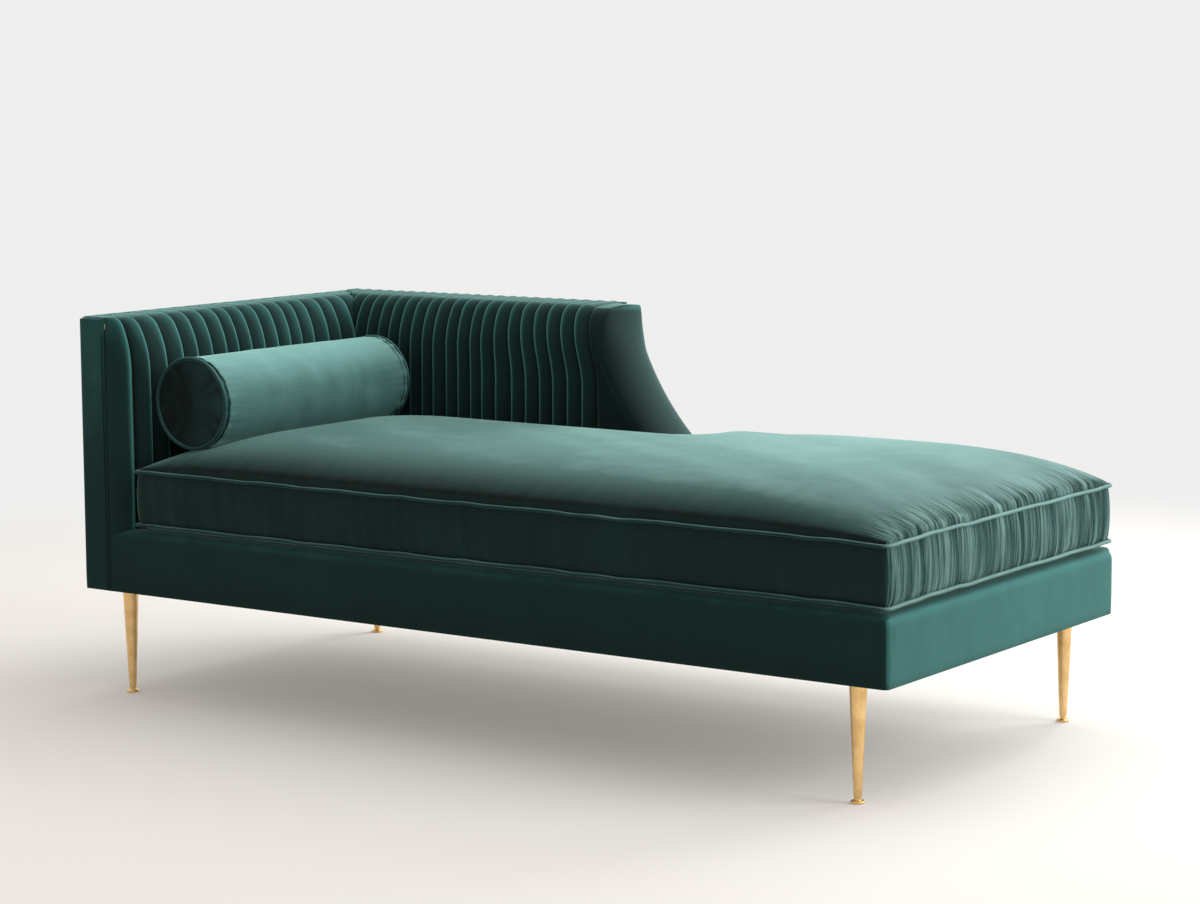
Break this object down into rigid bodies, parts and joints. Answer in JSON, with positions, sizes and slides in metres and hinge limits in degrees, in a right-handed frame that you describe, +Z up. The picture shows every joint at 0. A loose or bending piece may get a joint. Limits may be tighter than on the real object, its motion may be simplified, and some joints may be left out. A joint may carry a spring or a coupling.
{
  "type": "chaise longue",
  "caption": "Upholstered chaise longue with a pleated arm and half back, loose stepped seat cushion, bolster and tapered metal legs.",
  "frame": {"origin": "on the floor, under the middle of the frame's length and depth", "axes": "+X from the head end (the arm) to the foot end, +Y from the open front to the back, +Z up"},
  "size_m": [1.7, 0.8, 0.7],
  "materials": {
    "velvet": "deep emerald cut velvet",
    "cushion_velvet": "emerald cut velvet, brushed seat panels",
    "bolster_velvet": "emerald cut velvet, pile brushed light",
    "piping": "velvet-covered piping cord",
    "lining": "black woven lining",
    "foam": "pale foam and fibre wadding",
    "strap": "woven elastic seat strap",
    "timber": "planed frame timber and board",
    "steel": "zinc-plated steel",
    "brass": "brushed brass, lacquered"
  },
  "bodies": {
    "frame": {"arm_back_post": "timber", "arm_foam": "foam", "arm_front_cover": "velvet", "arm_front_post": "timber", "arm_outer_cover": "velvet", "arm_panel": "timber", "arm_piping": "piping", "arm_pleated_cover": "velvet", "arm_tack_rail": "timber", "arm_top_rail": "timber", "back_end_board": "timber", "back_end_cover": "velvet", "back_end_foam": "foam", "back_foam": "foam", "back_outer_cover": "velvet", "back_panel": "timber", "back_piping": "piping", "back_pleated_cover": "velvet", "back_posts": "timber", "back_tack_rail": "timber", "back_top_rail": "timber", "base_back_rail": "timber", "base_cover": "velvet", "base_cross_rails": "timber", "base_foot_rail": "timber", "base_front_rail": "timber", "base_head_rail": "timber", "corner_blocks": "timber", "cross_straps": "strap", "deck_cloth": "lining", "deck_pad": "foam", "dust_cover": "lining", "leg_back_left": "brass", "leg_back_right": "brass", "leg_front_left": "brass", "leg_front_right": "brass", "leg_plates": "steel", "leg_studs": "steel", "long_straps": "strap", "plate_screws": "steel"},
    "cushion": {"cushion_bottom_panel": "cushion_velvet", "cushion_boxing": "cushion_velvet", "cushion_core": "foam", "cushion_top_panel": "cushion_velvet", "cushion_wadding": "foam", "cushion_welt_bottom": "piping", "cushion_welt_top": "piping", "cushion_zip": "lining"},
    "bolster": {"bolster_core": "foam", "bolster_cover": "bolster_velvet", "bolster_ends": "bolster_velvet", "bolster_piping": "piping"},
    "leveller_back_left": {"leveller_back_left": "brass"},
    "leveller_back_right": {"leveller_back_right": "brass"},
    "leveller_front_left": {"leveller_front_left": "brass"},
    "leveller_front_right": {"leveller_front_right": "brass"}
  },
  "joints": [
    {"name": "cushion_lift", "type": "slide", "parent": "frame", "child": "cushion", "axis": [0, 0, 1], "range_m": [0, 0.45]},
    {"name": "bolster_lift", "type": "slide", "parent": "cushion", "child": "bolster", "axis": [0, 0, 1], "range_m": [0, 0.3]},
    {"name": "leveller_back_left_screw", "type": "slide", "parent": "frame", "child": "leveller_back_left", "axis": [0, 0, -1], "range_m": [0, 0.006]},
    {"name": "leveller_back_right_screw", "type": "slide", "parent": "frame", "child": "leveller_back_right", "axis": [0, 0, -1], "range_m": [0, 0.006]},
    {"name": "leveller_front_left_screw", "type": "slide", "parent": "frame", "child": "leveller_front_left", "axis": [0, 0, -1], "range_m": [0, 0.006]},
    {"name": "leveller_front_right_screw", "type": "slide", "parent": "frame", "child": "leveller_front_right", "axis": [0, 0, -1], "range_m": [0, 0.006]}
  ]
}
